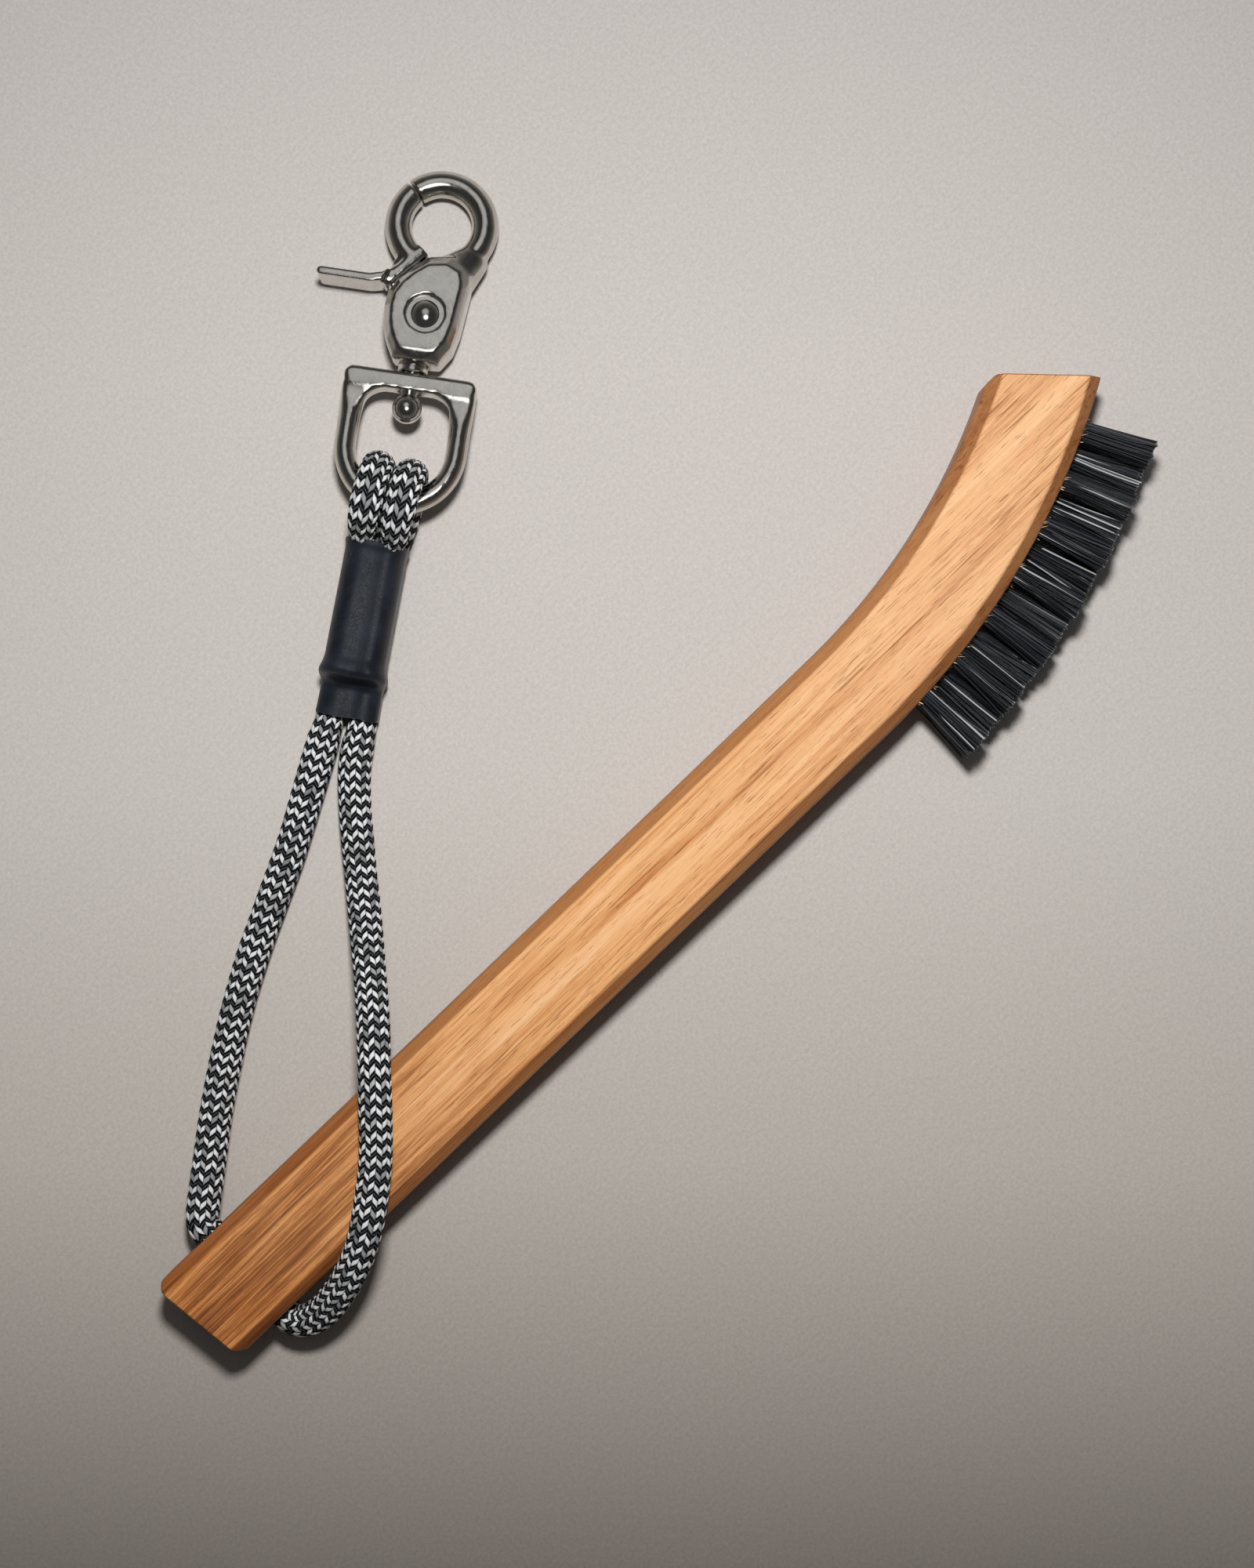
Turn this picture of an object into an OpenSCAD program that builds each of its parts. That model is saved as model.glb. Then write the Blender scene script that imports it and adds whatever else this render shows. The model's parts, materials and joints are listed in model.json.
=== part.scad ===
// Club groove brush: a curved wooden handle with three rows of nylon tufts, a braided lanyard through
// its butt and a swivel trigger snap. It lies flat: +X runs along the straight grip towards the head,
// the bristles point to -Y, and z = 0 is the face that the handle rests on. The origin is on that face,
// under the axis of the lanyard hole.

/* [Handle] */
// Thickness of the handle as it lies
handle_t = 14; // [12:0.5:18]
// Width of the handle across the grip
handle_w = 19.3; // [16:0.1:24]
// Straight grip, from the lanyard hole to the start of the bend
grip_len = 149; // [120:1:190]
// Lanyard hole axis to the butt end
butt_len = 11; // [9:0.5:16]
// Radius of the bend along the middle of the handle
bend_r = 131; // [105:1:170]
// Angle that the head turns through
bend_angle = 29.5; // [25:0.5:36]
// Slant of the cut at the head end
end_slant = 15.5; // [0:0.5:20]
// Chamfer along the four long edges
edge_chamfer = 2.3; // [1:0.1:3.2]
// Slant of the cut at the butt end
butt_slant = 7; // [0:0.5:12]
// Bevel on the corners of the end cuts
corner_bevel = 1.2; // [0.6:0.1:3]
// Diameter of the lanyard hole
lanyard_hole_d = 7; // [6.6:0.1:9]

/* [Bristles] */
// Diameter of each drilled tuft hole
tuft_hole_d = 4.2; // [3.4:0.1:4.6]
// Depth of each tuft hole
tuft_hole_depth = 8; // [6:0.5:11]
// Length of the bristles outside the wood
bristle_len = 13; // [8:0.5:20]
// Spacing of the tufts along the outer curve
tuft_pitch = 9.2; // [7.4:0.1:9.4]
// Distance between two rows
row_gap = 2.9; // [2.7:0.1:3.4]
// Outer curve from the start of the bend to the first tuft
first_tuft = 10; // [6:0.5:12]
// Diameter of a tuft at its trimmed end
tuft_tip_d = 5.2; // [4.2:0.1:5.4]
// Thickness of the wire anchor that staples a tuft
anchor_t = 0.5; // [0.3:0.1:0.8]

/* [Lanyard] */
// Diameter of the braided cord
cord_d = 6; // [4.5:0.1:6.4]
// Diameter of the cord where it is drawn tight round the bail
eye_cord_d = 5.2; // [4:0.1:5.4]
// Width of the sleeve over the splice
sleeve_w = 11; // [9:0.1:14]
// Height of the sleeve where it covers four strands
sleeve_h = 10.6; // [8:0.1:13]
// Height of the sleeve where it covers two strands
sleeve_low_h = 6.4; // [5:0.1:8]
// Wall of the sleeve
sleeve_wall = 0.8; // [0.5:0.1:1.2]
// Wall of the ferrule crimped on the splice
ferrule_wall = 0.7; // [0.4:0.1:1]

/* [Snap] */
// Diameter of the bail's wire
bail_wire_d = 4; // [3:0.1:4.2]
// Radius of the bail's bow along the wire's middle
bail_r = 10; // [9:0.1:12]
// Bar of the bail to the bottom of the bow, along the middles
bail_len = 22.3; // [20:0.1:26]
// Width of the flat bar across the bail, along the stem
bar_w = 3.4; // [2.8:0.1:4]
// Depth of the flat bar
bar_depth = 4.4; // [4:0.1:6]
// Diameter of the swivel post
post_d = 3; // [2.4:0.1:3.6]
// Diameter of the ball peened on the post
ball_d = 5.4; // [4.4:0.1:6.2]
// Thickness of the hook's body
body_t = 9.3; // [8:0.1:11]
// Width of the hook's body
body_w = 13.9; // [12:0.1:15]
// Diameter of the hook's round section
hook_d = 4.9; // [3.6:0.1:5]
// Radius of the hook along the middle of its section
hook_r = 7.85; // [7.4:0.05:9.5]
// Diameter of the gate's rivet
rivet_d = 2.5; // [2:0.1:3]
// Width of the thumb lever, across the plane of the hook
lever_w = 7; // [5:0.5:8]
// Width of the slot for the gate
slot_w = 4; // [3.4:0.1:4.6]
// Thickness of the thumb lever
lever_t = 1.6; // [1.2:0.1:2]
// Running clearance of the swivel and of the gate, on the radius
running_gap = 0.05; // [0.02:0.01:0.1]

/* [Hidden] */
$fn = 64;
OUTER = [1:7];
MIDDLE = [1:6];

// Clearance between pieces that are fixed to each other
seat_gap = 0.02;

// ---- handle ----
half_w = handle_w / 2;
half_t = handle_t / 2;
outer_r = bend_r + half_w;
deg_per_mm = 180 / (PI * outer_r);
mouth_flare = 0.6;
anchor_h = 1.8;
anchor_bite = 0.25;

// ---- lanyard: the loop from the sleeve, through the handle and back, as it lies ----
// The route fits a handle of this half width and thickness, and fitted() moves it for another
route_half_w = 9.65;
route_t = 14;
loop_route = [
  [79.7, 62.2, 3.1], [75.8, 60, 3.1], [68, 55.5, 3.1], [58.7, 50.2, 3.1], [49.3, 45.5, 3.1],
  [39.5, 40.6, 3.1], [30.5, 35.4, 3.1], [22.3, 29.9, 3.3], [15.2, 24.7, 3.9], [9.6, 20.1, 4.8],
  [5.2, 16.4, 5.9], [1.7, 13.4, 6.7], [0.2, 11.5, 7], [0, 9, 7], [0, 3, 7],
  [0, -3, 7], [0, -9, 7], [0.3, -11.6, 7.1], [1.9, -13.4, 7.7], [4.7, -14.2, 9],
  [8.3, -14, 11], [13, -13, 13.6], [18.3, -11, 15.9], [23.2, -8.2, 17.1], [28, -4.6, 17.2],
  [32.8, -0.5, 17.2], [38.3, 5.3, 17.2], [43.4, 11, 16.5], [48.8, 17.4, 13.6], [53.8, 24.1, 9.5],
  [59.3, 31.6, 5.6], [65.3, 39.6, 3.5], [71.5, 47.3, 3.1], [77, 53, 3.1], [83.2, 57.3, 3.1]];

// ---- sleeve: lies along the two strands, from its lower end ----
sleeve_x = 81.5;
sleeve_y = 59.8;
sleeve_heading = 35.5;
sleeve_len = 31.4;
sleeve_low_len = 6.2;
sleeve_step = 1.6;
sleeve_z = 0.1;
eye_end_gap = 0.1;

// ---- cord eyes: a turn round the bail's bow, then back to the sleeve ----
eye_pitch_r = 5.6;
eye_z = eye_pitch_r + eye_cord_d / 2 + 0.15;
eye_left = [112.54, 84.9];
eye_right = [115.75, 79.8];
eye_heading = atan2(eye_right.y - eye_left.y, eye_right.x - eye_left.x) + 90;
// Forward and upward places along one eye, from its axis
eye_turn = [[-6, -5.6], [-3, -5.6], [0, -5.6], [2.1, -5.2], [3.95, -3.95], [5.2, -2.1], [5.6, 0],
            [5.2, 2.1], [3.95, 3.95], [2.1, 5.2], [0, 5.6], [-2.2, 5.4], [-4.3, 4.2], [-6.2, 2.2]];

// ---- snap: its own frame has +Y along the stem and the origin in the middle of the bail's bar ----
snap_x = 131.72;
snap_y = 95.03;
snap_heading = 37.9;
snap_tilt = 5.5;
snap_z = eye_z - bail_len * sin(snap_tilt);
bail_leg = bail_len - bail_r;
bar_corner = 1.5;
bar_shift = 0.3;
body_base = 3.3;
collar_d = 5.4;
rivet_x = 1;
rivet_y = 11.8;
rivet_head_d = 5.1;
rivet_recess_d = 6.7;
rivet_head_z = body_t / 2 - 0.75;
hook_x = 1.15;
hook_y = 29.2;
// Outline of the body round its middle, for a body of outline_w
outline_w = 13.9;
body_outline = [[4.5, 3.3], [6.5, 6.3], [7.3, 9.8], [8.2, 18.9], [7.4, 21.9], [4.2, 23.3], [0.1, 22.6],
                [-2.7, 20.3], [-4.8, 18], [-6.3, 15.2], [-6.6, 12.6], [-6.3, 9.2], [-5.5, 6.4], [-3.8, 3.3]];
body_edge_t = 6;
hook_root = 44;
nose_angle = 134.5;
gate_end_angle = 240;
gate_gap = 0.2;
lever_x = -18.8;
lever_y = 18;
hub_d = 6.8;
hub_t = 2;
// The body's shoulder is cut along this line, and the gate's foot lies against it
shoulder = [[0.1, 22.9], [-3.3, 19.1], [-6.8, 15.9]];
shoulder_gap = 0.35;
spring_wire = 0.7;
spring_r = rivet_d / 2 + running_gap + 0.75;

// Moves a point of the loop with the sides and the top of the handle
function fitted(p) = p + [0, (half_w - route_half_w) * lookup(p.y, [[-9, -1], [9, 1], [25, 1], [50, 0]]),
                          (handle_t - route_t) * lookup(p.z, [[3.1, 0], [7, 0.5], [17.2, 1]])];

function unit(v) = v / norm(v);
function tangent(p, i) = unit(p[min(i + 1, len(p) - 1)] - p[max(i - 1, 0)]);

// Carries a side vector along the route without twisting it
function next_side(s, t) = unit(s - (s * t) * t);
function sides(p, t, s, i) =
  i == len(p) ? [] : let (n = next_side(s, t[i])) concat([n], sides(p, t, n, i + 1));

// One closed tube of round section along a list of points
module tube(p, d, n, first = undef, last = undef) {
  t = [for (i = [0:len(p) - 1])
    i == 0 && first != undef ? unit(first) : i == len(p) - 1 && last != undef ? unit(last) : tangent(p, i)];
  s = sides(p, t, [0, 0, 1] + 0.01 * [1, 1, 0], 0);
  pts = [for (i = [0:len(p) - 1]) for (k = [0:n - 1])
    let (a = 360 * (k + 0.5) / n, b = cross(t[i], s[i])) p[i] + (d / 2) * (cos(a) * s[i] + sin(a) * b)];
  walls = [for (i = [0:len(p) - 2]) for (k = [0:n - 1])
    [i * n + k, (i + 1) * n + k, (i + 1) * n + (k + 1) % n, i * n + (k + 1) % n]];
  polyhedron(pts, concat([[for (k = [0:n - 1]) k]], walls,
    [[for (k = [n - 1:-1:0]) (len(p) - 1) * n + k]]), convexity = 8);
}

// ---- handle ----

// Section of the handle: a rectangle with its four corners cut off
module handle_section() {
  w = half_w;
  c = edge_chamfer;
  polygon([[-w + c, 0], [w - c, 0], [w, c], [w, handle_t - c], [w - c, handle_t],
           [-w + c, handle_t], [-w, handle_t - c], [-w, c]]);
}

// Puts its children at an angle round the bend's centre, with +X pointing out of the outer curve
module at_bend(angle) {
  translate([grip_len, bend_r, 0]) rotate([0, 0, angle - 90]) children();
}

// Everything beyond y = 0, and a bevel on the corners of that cut at the given sides
module slanted_cut(slant, corners) {
  rotate([0, 0, slant]) {
    translate([-40, 0, -1]) cube([80, 40, handle_t + 2]);
    for (s = corners) translate([s * half_w / cos(slant), 0, half_t]) rotate([0, 0, 45])
      cube([corner_bevel * sqrt(2), corner_bevel * sqrt(2), handle_t + 2], center = true);
  }
}

module head_end_cut() {
  at_bend(bend_angle) translate([bend_r, 0, 0]) slanted_cut(end_slant, [-1]);
}

module butt_end_cut() {
  translate([-butt_len, 0, 0]) rotate([0, 0, 90]) slanted_cut(butt_slant, [-1, 1]);
}

// Puts its children at one tuft, with +X along the tuft and x = 0 on the wood's outer face
module at_tuft(row, i) {
  offset = row == 1 ? tuft_pitch / 2 : 0;
  at_bend((first_tuft + offset + (i - 1) * tuft_pitch) * deg_per_mm)
    translate([outer_r, 0, half_t + (row - 1) * row_gap]) children();
}

module each_tuft() {
  for (row = [0:2]) for (i = row == 1 ? MIDDLE : OUTER) at_tuft(row, i) children();
}

// Flat wire across the bottom of a tuft hole, with both ends bitten into the wood
module anchor(gap) {
  w = tuft_hole_d + 2 * anchor_bite;
  translate([2 * seat_gap - tuft_hole_depth - gap, -anchor_t / 2 - gap, -w / 2 - gap])
    cube([anchor_h + 2 * gap, anchor_t + 2 * gap, w + 2 * gap]);
}

module handle() {
  color("peru") difference() {
    union() {
      translate([-butt_len - 1, 0, 0]) rotate([90, 0, 90]) linear_extrude(grip_len + butt_len + 1)
        handle_section();
      at_bend(0) rotate_extrude(angle = bend_angle + 8, $fn = 128) translate([bend_r, 0])
        handle_section();
    }
    head_end_cut();
    butt_end_cut();
    translate([0, 0, half_t]) rotate([90, 0, 0]) {
      cylinder(h = handle_w + 2, d = lanyard_hole_d, center = true);
      for (s = [0, 180]) rotate([0, s, 0]) translate([0, 0, half_w - mouth_flare])
        cylinder(h = mouth_flare + 0.01, d1 = lanyard_hole_d, d2 = lanyard_hole_d + 2 * mouth_flare);
    }
    each_tuft() {
      translate([-tuft_hole_depth, 0, 0]) rotate([0, 90, 0])
        cylinder(h = tuft_hole_depth + 2, d = tuft_hole_d, $fn = 24);
      anchor(seat_gap);
    }
  }
}

// A bundle of filaments folded over its anchor: straight in the wood, fanned out beyond it
module tuft(row, i) {
  root_d = tuft_hole_d - 2 * seat_gap;
  color("dimgray") at_tuft(row, i) difference() {
    rotate([0, 90, 0]) {
      translate([0, 0, -tuft_hole_depth + seat_gap])
        cylinder(h = tuft_hole_depth - seat_gap, d = root_d, $fn = 20);
      cylinder(h = bristle_len, d1 = root_d, d2 = tuft_tip_d, $fn = 20);
    }
    anchor(seat_gap);
  }
}

module tuft_anchors() {
  color("silver") each_tuft() anchor(0);
}

// ---- lanyard ----

module lanyard_cord() {
  along = [cos(sleeve_heading), sin(sleeve_heading), 0];
  color("darkslategray") tube([for (q = loop_route) fitted(q)], cord_d, 10, -along, along);
}

module cord_eye(axis, side) {
  forward = [cos(eye_heading), sin(eye_heading), 0];
  along = [cos(sleeve_heading), sin(sleeve_heading), 0];
  across = [-sin(sleeve_heading), cos(sleeve_heading), 0];
  top = [sleeve_x, sleeve_y, 0] + (sleeve_len + eye_end_gap) * along + side * sleeve_w / 4 * across;
  turn = [for (q = eye_turn) [axis.x, axis.y, eye_z] + q[0] * forward + [0, 0, q[1]]];
  lower = [top.x, top.y, eye_z - eye_pitch_r];
  upper = [top.x, top.y, lower.z + eye_cord_d + 0.2];
  color("slategray") tube(concat([lower], turn, [upper]), eye_cord_d, 12, along, -along);
}

module on_sleeve() {
  translate([sleeve_x, sleeve_y, sleeve_z]) rotate([0, 0, sleeve_heading]) children();
}

// A flat-sided tube section lying on z = 0 with its middle on the X axis
module rounded_bar(w, h, r, from, to) {
  translate([from, 0, h / 2]) rotate([90, 0, 90]) linear_extrude(to - from) {
    square([w - 2 * r, h], center = true);
    square([w, h - 2 * r], center = true);
    for (y = [-1, 1]) for (z = [-1, 1]) translate([y * (w / 2 - r), z * (h / 2 - r)])
      circle(r, $fn = 32);
  }
}

module shrink_sleeve() {
  low = sleeve_low_len;
  full = low + sleeve_step;
  color("darkslategray") on_sleeve() difference() {
    union() {
      rounded_bar(sleeve_w + 0.8, sleeve_low_h, 3, 0, low);
      hull() {
        rounded_bar(sleeve_w + 0.8, sleeve_low_h, 3, low - 0.01, low);
        rounded_bar(sleeve_w, sleeve_h, 3.4, full, full + 0.01);
      }
      rounded_bar(sleeve_w, sleeve_h, 3.4, full, sleeve_len);
    }
    translate([0, 0, sleeve_wall]) {
      rounded_bar(sleeve_w - 1.6 * sleeve_wall, sleeve_low_h - 2 * sleeve_wall, 2, -1, full + 0.6);
      rounded_bar(sleeve_w - 2 * sleeve_wall, sleeve_h - 2 * sleeve_wall, 2.6,
        full + 0.4, sleeve_len + 1);
    }
  }
}

// Ferrule and strands fill the sleeve's bore from the step to the top end
module splice_bore(wall, from, to) {
  inset = sleeve_wall + seat_gap + wall;
  translate([0, 0, inset])
    rounded_bar(sleeve_w - 2 * inset, sleeve_h - 2 * inset, 2.6 - wall, from, to);
}

module crimp_ferrule() {
  from = sleeve_low_len + sleeve_step + 3;
  to = sleeve_len - 4;
  color("silver") on_sleeve() difference() {
    splice_bore(0, from, to);
    splice_bore(ferrule_wall, from - 1, to + 1);
  }
}

// The four strands, pressed square by the crimp, and the two that run on to the handle
module splice_strands() {
  full = sleeve_low_len + sleeve_step;
  inset = sleeve_wall + 2 * seat_gap + ferrule_wall;
  w = (sleeve_w - seat_gap) / 2 - inset;
  h = (sleeve_h - seat_gap) / 2 - inset;
  color("slategray") on_sleeve() for (y = [-1, 1]) translate([0, y * (w + seat_gap) / 2, inset]) {
    rounded_bar(w, sleeve_low_h - 2 * inset, 1, 0, full + 0.8);
    for (z = [0, 1]) translate([0, 0, z * (h + seat_gap)])
      rounded_bar(w, h, 1.87, full + 0.8 + seat_gap, sleeve_len);
  }
}

// ---- snap ----

module in_snap() {
  translate([snap_x, snap_y, snap_z]) rotate([0, 0, snap_heading - 90]) rotate([-snap_tilt, 0, 0])
    children();
}

// Fillet in the inner corner between the bail's bar and one leg
module bail_fillet(side) {
  polygon([for (q = [[0.3, 0.3], [-3.6, 0.3], [-3.4, 0], [-1.9, -0.6], [-0.8, -1.5], [-0.2, -2.6], [0.3, -4]])
    [side * (bail_r - bail_wire_d / 2 + q.x), q.y - bar_w / 2 - bar_shift]]);
}

// Top of one leg of the bail, where it squares up to meet the bar
module bail_shoulder(side) {
  hull() {
    translate([side * bail_r, -7.4, 0]) rotate([-90, 0, 0])
      cylinder(h = 0.2, d = bail_wire_d, $fn = 32);
    translate([side * (bail_r - 0.3), -bar_w / 2, 0])
      cube([bail_wire_d + 0.6, 0.2, bar_depth - 0.4], center = true);
  }
}

module bail() {
  color("gainsboro") in_snap() difference() {
    union() {
      for (s = [-1, 1]) bail_shoulder(s);
      translate([0, -bail_leg, 0]) rotate([0, 0, 180]) rotate_extrude(angle = 180, $fn = 96)
        translate([bail_r, 0]) circle(d = bail_wire_d, $fn = 32);
      for (s = [-1, 1]) translate([s * bail_r, -bail_leg, 0]) rotate([-90, 0, 0])
        cylinder(h = bail_leg, d = bail_wire_d, $fn = 32);
      translate([0, 0, -bar_depth / 2]) linear_extrude(bar_depth) translate([0, -bar_shift]) {
        square([2 * bail_r + bail_wire_d, bar_w - 2 * bar_corner], center = true);
        square([2 * bail_r + bail_wire_d - 2 * bar_corner, bar_w], center = true);
        for (x = [-1, 1]) for (y = [-1, 1])
          translate([x * (bail_r + bail_wire_d / 2 - bar_corner), y * (bar_w / 2 - bar_corner)])
            circle(bar_corner, $fn = 32);
      }
      translate([0, 0, -bail_wire_d / 2]) linear_extrude(bail_wire_d) for (s = [-1, 1]) bail_fillet(s);
    }
    rotate([90, 0, 0]) cylinder(h = bar_w + 8, d = post_d + 2 * running_gap, center = true);
  }
}

module swivel_post() {
  ball_y = -bar_w / 2 - bar_shift - 0.2 - ball_d / 2;
  collar_y = bar_w / 2 - bar_shift + 0.2;
  color("silver") in_snap() {
    translate([0, ball_y, 0]) sphere(d = ball_d, $fn = 48);
    translate([0, ball_y, 0]) rotate([-90, 0, 0])
      cylinder(h = body_base + 3.4 - ball_y, d = post_d, $fn = 48);
    translate([0, collar_y, 0]) rotate([-90, 0, 0])
      cylinder(h = body_base - seat_gap - collar_y, d = collar_d, $fn = 48);
  }
}

// Outline of the space that the gate needs as it swings out of the body
module gate_slot() {
  translate([0, 0, -slot_w / 2]) linear_extrude(slot_w) {
    translate([rivet_x, rivet_y]) circle(d = hub_d + 0.6);
    polygon([[rivet_x, rivet_y - hub_d / 2 - 0.3], [rivet_x + 3.4, rivet_y + 1.4],
             [0.3, 20.2], [-0.6, 24.9], [-14, 24.9], [-14, rivet_y - hub_d / 2 - 0.3]]);
  }
}

module ellipsoid(x, y, size) {
  translate([x, y, 0]) scale(size) sphere(1, $fn = 48);
}

// A slice of the body, drawn in towards its middle
module body_plate(share, t) {
  translate([0.4, 12.2, -t / 2]) scale([share * body_w / outline_w, share, 1]) linear_extrude(t)
    translate([-0.4, -12.2]) polygon(body_outline);
}

module hook_body() {
  color("gainsboro") in_snap() difference() {
    union() {
      difference() {
        hull() {
          translate([0.3, body_base, 0]) rotate([-90, 0, 0]) cylinder(h = 0.8, d = 7.8, $fn = 40);
          body_plate(1, body_edge_t);
          body_plate(0.8, body_t);
        }
        translate([0, 0, -body_t]) linear_extrude(2 * body_t)
          polygon(concat(shoulder, [[-14, 15.9], [-14, 30], [0.1, 30]]));
      }
      hull() {
        ellipsoid(5, 18.6, [3.2, 3.4, 4.3]);
        ellipsoid(2.3, 22, [1.5, 1.5, 2.3]);
        ellipsoid(hook_x + (hook_r + 0.6) * cos(hook_root), hook_y - (hook_r + 0.6) * sin(hook_root),
                  (hook_d / 2 + 0.7) * [1, 1, 0.94]);
      }
      translate([hook_x, hook_y, 0]) rotate([0, 0, -hook_root])
        rotate_extrude(angle = hook_root + nose_angle, $fn = 96) translate([hook_r, 0])
          circle(d = hook_d, $fn = 32);
    }
    gate_slot();
    translate([rivet_x, rivet_y, 0]) {
      cylinder(h = body_t + 2, d = rivet_d + 2 * seat_gap, center = true, $fn = 48);
      for (s = [0, 180]) rotate([s, 0, 0]) translate([0, 0, rivet_head_z - seat_gap])
        cylinder(h = 3, d = rivet_recess_d, $fn = 48);
    }
    translate([0, body_base - 1, 0]) rotate([-90, 0, 0])
      cylinder(h = 4.5, d = post_d + 2 * seat_gap, $fn = 48);
  }
}

module gate_rivet() {
  rise = 1;
  dome_r = (pow(rivet_head_d / 2, 2) + rise * rise) / (2 * rise);
  color("silver") in_snap() translate([rivet_x, rivet_y, 0]) {
    cylinder(h = 2 * rivet_head_z + rise, d = rivet_d, center = true, $fn = 48);
    for (s = [0, 180]) rotate([s, 0, 0]) intersection() {
      translate([0, 0, rivet_head_z + rise - dome_r]) sphere(dome_r, $fn = 64);
      translate([0, 0, rivet_head_z]) cylinder(h = 2, d = rivet_head_d, $fn = 48);
    }
  }
}

// A torsion spring on the rivet beside the gate's hub, with one leg against the body
module gate_spring() {
  coil_z = -slot_w / 2 + 0.15 + hub_t + 0.15 + spring_wire / 2;
  color("darkgray") in_snap() translate([rivet_x, rivet_y, coil_z]) {
    for (k = [0, 1]) translate([0, 0, k * (spring_wire - 0.01)]) rotate_extrude($fn = 48)
      translate([spring_r, 0]) circle(d = spring_wire, $fn = 16);
    translate([spring_r, 0, 0]) rotate([90, 0, 0]) cylinder(h = 2.6, d = spring_wire, $fn = 16);
  }
}

// Foot of the gate: from the cusp of the ring down along the body's shoulder to the lever
module gate_foot() {
  shift = shoulder_gap * [-0.7, 0.7];
  polygon(concat([for (q = shoulder) q + shift], [[-7.8, 17], [-7.4, 19.2], [-5.4, 20.6], [-2.4, 24.9]]));
}

module trigger_gate() {
  hub_z = -slot_w / 2 + 0.15;
  arm_t = slot_w - 0.4;
  arc = gate_end_angle - nose_angle - gate_gap * 180 / (PI * hook_r);
  color("gainsboro") in_snap() difference() {
    union() {
      translate([rivet_x, rivet_y, hub_z]) cylinder(h = hub_t, d = hub_d, $fn = 48);
      translate([0, 0, -arm_t / 2]) linear_extrude(arm_t)
        polygon([[rivet_x - 3.2, rivet_y + 0.6], [rivet_x + 2.2, rivet_y + 2.5], [-0.9, 20],
                 [-2.2, 23.6], [-4.4, 24.2], [-6.4, 21.2], [-6.9, 17.2]]);
      intersection() {
        translate([0, 0, -hook_d / 2]) linear_extrude(hook_d) gate_foot();
        hull() {
          ellipsoid(-1.6, 23.9, [2.3, 2.3, hook_d / 2]);
          ellipsoid(-6.6, 18, [2.3, 2.3, hook_d / 2]);
        }
      }
      translate([hook_x, hook_y, 0]) rotate([0, 0, gate_end_angle - arc])
        rotate_extrude(angle = arc, $fn = 96) translate([hook_r, 0]) circle(d = hook_d, $fn = 32);
      translate([0, 0, -lever_w / 2]) linear_extrude(lever_w) {
        polygon([[-6.6, 19.6], [-7.8, 18.6], [-10, lever_y], [lever_x, lever_y],
                 [lever_x, lever_y - lever_t], [-10, lever_y - lever_t], [-7.6, 16.9]]);
        translate([lever_x, lever_y - lever_t / 2]) circle(d = lever_t, $fn = 24);
      }
    }
    translate([rivet_x, rivet_y, 0])
      cylinder(h = body_t, d = rivet_d + 2 * running_gap, center = true, $fn = 48);
    translate([rivet_x, rivet_y, hub_z + hub_t])
      cylinder(h = slot_w, r = spring_r + spring_wire / 2 + 0.3, $fn = 48);
  }
}

handle();
for (i = OUTER) tuft(0, i);
for (i = MIDDLE) tuft(1, i);
for (i = OUTER) tuft(2, i);
tuft_anchors();
lanyard_cord();
cord_eye(eye_left, 1);  // cord_eye_left
cord_eye(eye_right, -1);  // cord_eye_right
splice_strands();
crimp_ferrule();
shrink_sleeve();
bail();
swivel_post();
hook_body();
gate_rivet();
gate_spring();
trigger_gate();
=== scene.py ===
import json
import math
import random

import bpy
import numpy as np
from mathutils import Matrix, Vector

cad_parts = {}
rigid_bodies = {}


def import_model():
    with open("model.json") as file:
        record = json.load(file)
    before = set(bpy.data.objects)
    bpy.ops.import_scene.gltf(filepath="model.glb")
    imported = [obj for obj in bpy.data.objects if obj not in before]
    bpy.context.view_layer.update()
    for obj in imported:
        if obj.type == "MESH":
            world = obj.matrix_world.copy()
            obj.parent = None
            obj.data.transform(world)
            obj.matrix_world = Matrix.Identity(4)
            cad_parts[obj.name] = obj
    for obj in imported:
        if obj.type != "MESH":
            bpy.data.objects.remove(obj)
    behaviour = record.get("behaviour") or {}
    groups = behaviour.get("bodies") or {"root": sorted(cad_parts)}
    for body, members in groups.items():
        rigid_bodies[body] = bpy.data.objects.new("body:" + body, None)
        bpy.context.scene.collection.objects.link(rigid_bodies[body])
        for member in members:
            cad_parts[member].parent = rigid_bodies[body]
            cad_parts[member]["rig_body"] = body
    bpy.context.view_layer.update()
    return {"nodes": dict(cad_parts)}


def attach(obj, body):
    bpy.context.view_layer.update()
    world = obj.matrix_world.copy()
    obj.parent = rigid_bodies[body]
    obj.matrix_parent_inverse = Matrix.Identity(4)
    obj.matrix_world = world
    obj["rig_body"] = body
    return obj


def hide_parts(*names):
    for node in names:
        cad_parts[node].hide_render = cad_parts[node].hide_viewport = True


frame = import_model()
nodes = frame["nodes"]
MM = 0.001


# ---- camera ----
# Hangs 450 mm over the table and looks straight down, turned so that the handle's straight grip
# runs up to the right across the upright picture.
VIEW_TURN = math.radians(43.8)
middle = Vector((0.1098, 0.0161, 0))
up_picture = Vector((math.sin(VIEW_TURN), math.cos(VIEW_TURN), 0))
bpy.ops.object.camera_add(location=(middle.x, middle.y, 0.450), rotation=(0, 0, -VIEW_TURN))
camera = bpy.context.object
camera.data.lens = 56.7
camera.data.sensor_width = 36
bpy.context.scene.camera = camera


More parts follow.
